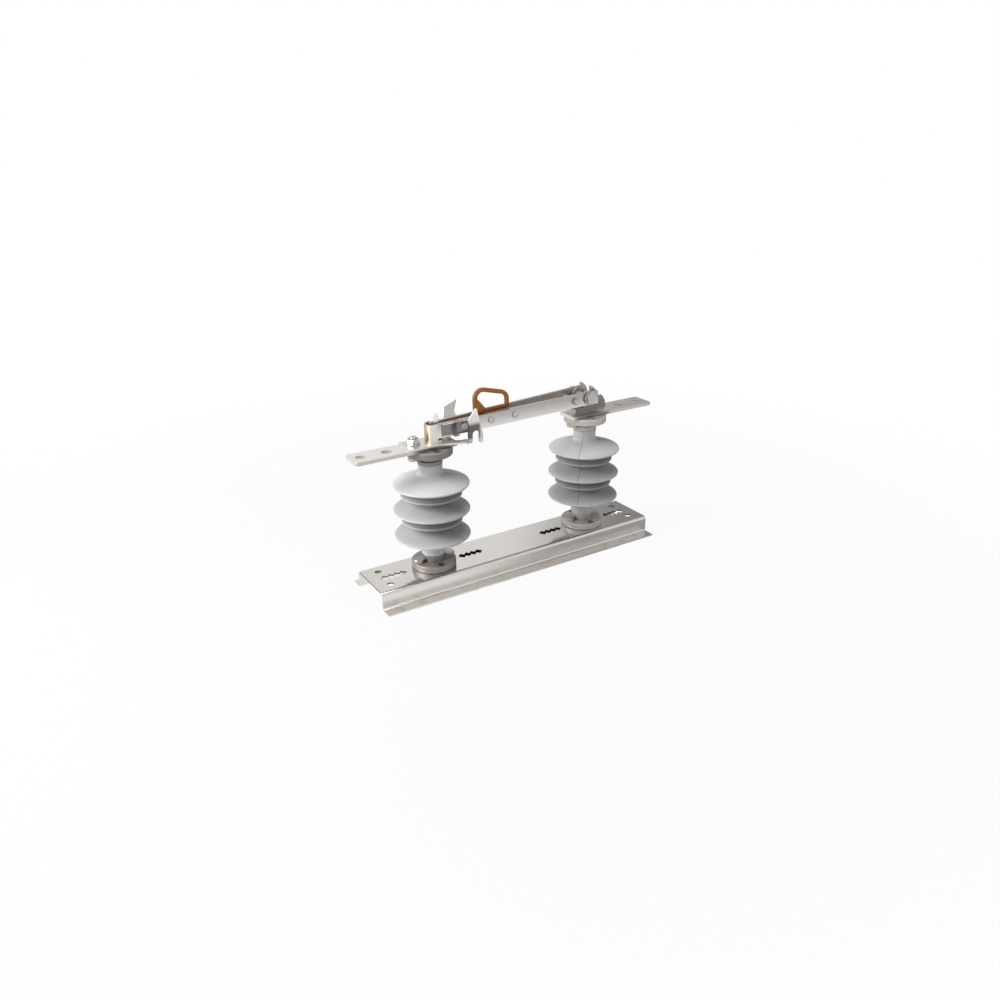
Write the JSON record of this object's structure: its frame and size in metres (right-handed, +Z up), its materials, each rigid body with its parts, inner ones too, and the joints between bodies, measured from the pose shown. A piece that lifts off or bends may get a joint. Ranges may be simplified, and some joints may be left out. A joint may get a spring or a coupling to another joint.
{
  "type": "hook-stick disconnect switch",
  "caption": "Single-pole hook-stick disconnect switch: twin-bar blade with pull ring, jaw and hinge on polymer post insulators, on a sheet channel base.",
  "frame": {"origin": "on the floor under the middle of the base channel", "axes": "+X along the channel towards the hinge end, +Z up"},
  "size_m": [0.597, 0.141, 0.3315],
  "materials": {
    "channel_steel": "bright polished stainless sheet",
    "fitting_metal": "satin zinc-coated casting",
    "shed_rubber": "matt light grey silicone",
    "bolt_steel": "stainless fastener",
    "tinned_bar": "tin-plated copper bar, satin",
    "bracket_steel": "bright stainless sheet",
    "jaw_bronze": "plated bronze spring strap",
    "hinge_metal": "plated copper alloy, satin",
    "blade_bar": "tin-plated copper bar, satin",
    "ring_bronze": "cast bronze, brown"
  },
  "bodies": {
    "stand": {"base_channel": "channel_steel", "jaw_post_bottom_fitting": "fitting_metal", "jaw_post_rubber": "shed_rubber", "jaw_post_top_fitting": "fitting_metal", "hinge_post_bottom_fitting": "fitting_metal", "hinge_post_rubber": "shed_rubber", "hinge_post_top_fitting": "fitting_metal", "jaw_post_base_bolts": "bolt_steel", "jaw_post_base_nuts": "bolt_steel", "hinge_post_base_bolts": "bolt_steel", "hinge_post_base_nuts": "bolt_steel", "jaw_terminal": "tinned_bar", "jaw_stud_bolt": "bolt_steel", "jaw_stud_washer": "bolt_steel", "jaw_stud_nut": "bolt_steel", "jaw_low_bolt": "bolt_steel", "jaw_low_nut": "bolt_steel", "hook_bracket": "bracket_steel", "jaw_strap": "jaw_bronze", "jaw_tongue": "tinned_bar", "hinge_terminal": "tinned_bar", "hinge_flange_bolts": "bolt_steel", "hinge_flange_washers": "bolt_steel", "hinge_flange_nuts": "bolt_steel", "hinge_bracket": "hinge_metal", "hinge_pin": "bolt_steel", "hinge_pin_washers": "bolt_steel", "hinge_pin_nut": "bolt_steel"},
    "blade": {"blade_bar_near": "blade_bar", "blade_bar_far": "blade_bar", "blade_spacer_bolt": "bolt_steel", "blade_rivets": "bolt_steel", "blade_clips": "hinge_metal", "latch_pin": "bolt_steel"},
    "latch": {"pull_ring": "ring_bronze"}
  },
  "joints": [
    {"name": "blade_swing", "type": "hinge", "parent": "stand", "child": "blade", "pos_m": [0.151, 0, 0.2848], "axis": [0, 1, 0], "range_deg": [0, 90]},
    {"name": "latch_pull", "type": "hinge", "parent": "blade", "child": "latch", "pos_m": [-0.10143, 0, 0.27599], "axis": [0, -1, 0], "range_deg": [0, 12], "stiffness_Nm_per_rad": 0.6, "springref_deg": -17.19}
  ]
}
